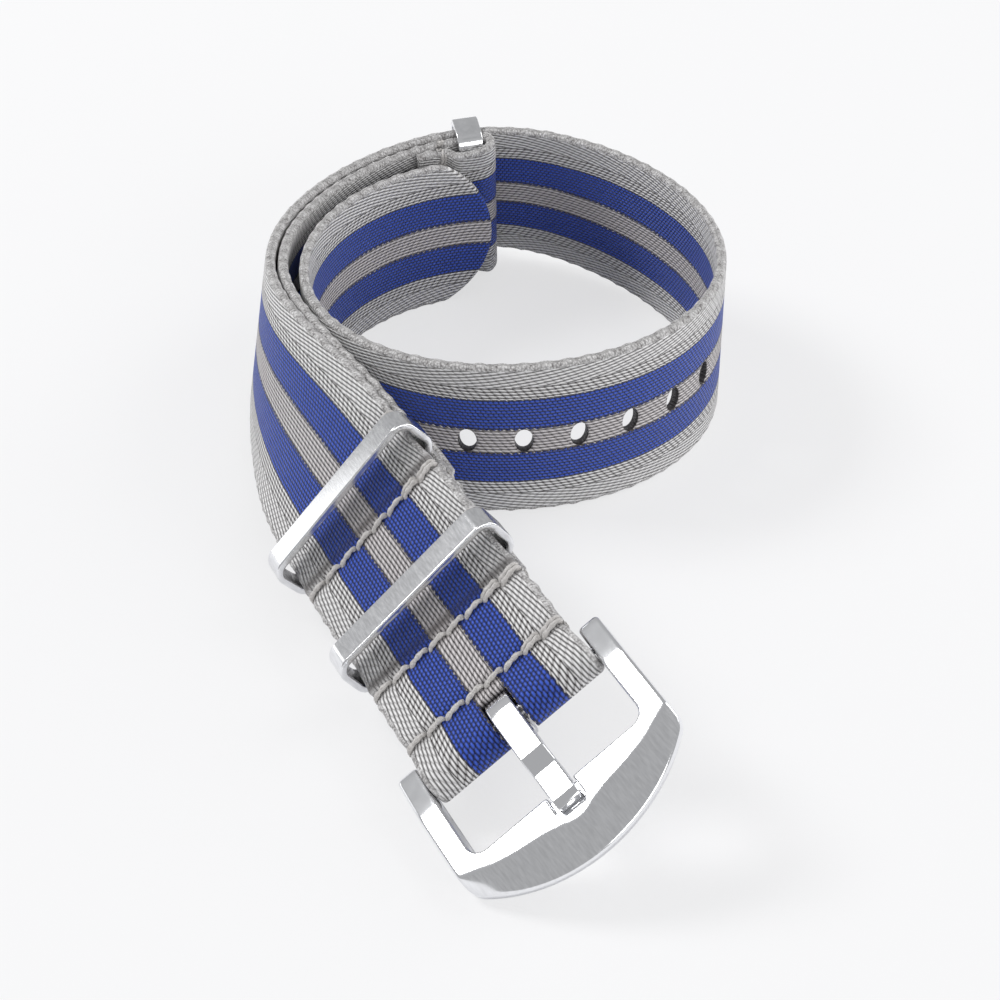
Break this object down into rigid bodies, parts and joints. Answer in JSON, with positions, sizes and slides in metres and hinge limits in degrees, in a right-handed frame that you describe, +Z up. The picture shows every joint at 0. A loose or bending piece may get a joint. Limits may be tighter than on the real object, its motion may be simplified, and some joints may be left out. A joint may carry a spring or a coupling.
{
  "type": "watch strap",
  "caption": "Coiled striped nylon watch strap with a pin buckle on a spring bar, steel keeper rings, and a short under-strap whose looped end holds another ring.",
  "frame": {"origin": "middle of the strap's outline on the surface that its lower edge rests on", "axes": "+Z up, across the webbing where it stands on its edge; +Y from the buckle along the sewn part to the coil; +X to the inside of the coil"},
  "size_m": [0.0691, 0.1085, 0.0226],
  "materials": {
    "webbing": "woven nylon, silver grey with two royal blue stripes",
    "thread": "grey sewing thread",
    "ring_steel": "brushed outer face, polished edges",
    "buckle_steel": "polished top with a satin sloped front",
    "tongue_steel": "polished",
    "bar_steel": "drawn",
    "spring_steel": "drawn wire"
  },
  "bodies": {
    "strap": {"main_strap": "webbing", "short_strap": "webbing", "thread_bar": "thread", "thread_lower_keeper_front": "thread", "thread_lower_keeper_back": "thread", "thread_upper_keeper_front": "thread", "thread_upper_keeper_back": "thread", "thread_ring_loop": "thread"},
    "buckle": {"buckle_frame": "buckle_steel", "bar_tube": "bar_steel", "bar_spring": "spring_steel"},
    "tongue": {"buckle_tongue": "tongue_steel"},
    "pin_left": {"bar_pin_left": "bar_steel"},
    "pin_right": {"bar_pin_right": "bar_steel"},
    "lower_keeper": {"lower_keeper": "ring_steel"},
    "upper_keeper": {"upper_keeper": "ring_steel"},
    "third_ring": {"short_strap_ring": "ring_steel"}
  },
  "joints": [
    {"name": "buckle_swivel", "type": "hinge", "parent": "strap", "child": "buckle", "pos_m": [-0.02337, -0.03669, 0.00845], "axis": [-0.8576, 0.0264, -0.5136], "range_deg": [-90, 20]},
    {"name": "tongue_pivot", "type": "hinge", "parent": "buckle", "child": "tongue", "pos_m": [-0.02337, -0.03669, 0.00845], "axis": [-0.8576, 0.0264, -0.5136], "range_deg": [0, 75]},
    {"name": "pin_left_press", "type": "slide", "parent": "buckle", "child": "pin_left", "axis": [0.8576, -0.0264, 0.5136], "range_m": [0, 0.0009], "stiffness_N_per_m": 400},
    {"name": "pin_right_press", "type": "slide", "parent": "buckle", "child": "pin_right", "axis": [-0.8576, 0.0264, -0.5136], "range_m": [0, 0.0009], "stiffness_N_per_m": 400},
    {"name": "lower_keeper_tilt", "type": "hinge", "parent": "strap", "child": "lower_keeper", "pos_m": [-0.02311, -0.02032, 0.00942], "axis": [-0.8021, 0.039, -0.5959], "range_deg": [-30, 14]},
    {"name": "upper_keeper_tilt", "type": "hinge", "parent": "strap", "child": "upper_keeper", "pos_m": [-0.02276, -0.00331, 0.01002], "axis": [-0.739, 0.0264, -0.6732], "range_deg": [-30, 14]},
    {"name": "third_ring_tilt", "type": "hinge", "parent": "strap", "child": "third_ring", "pos_m": [0.0163, 0.0463, 0.01104], "axis": [0.0978, 0.1837, -0.9781], "range_deg": [-2, 18]}
  ]
}
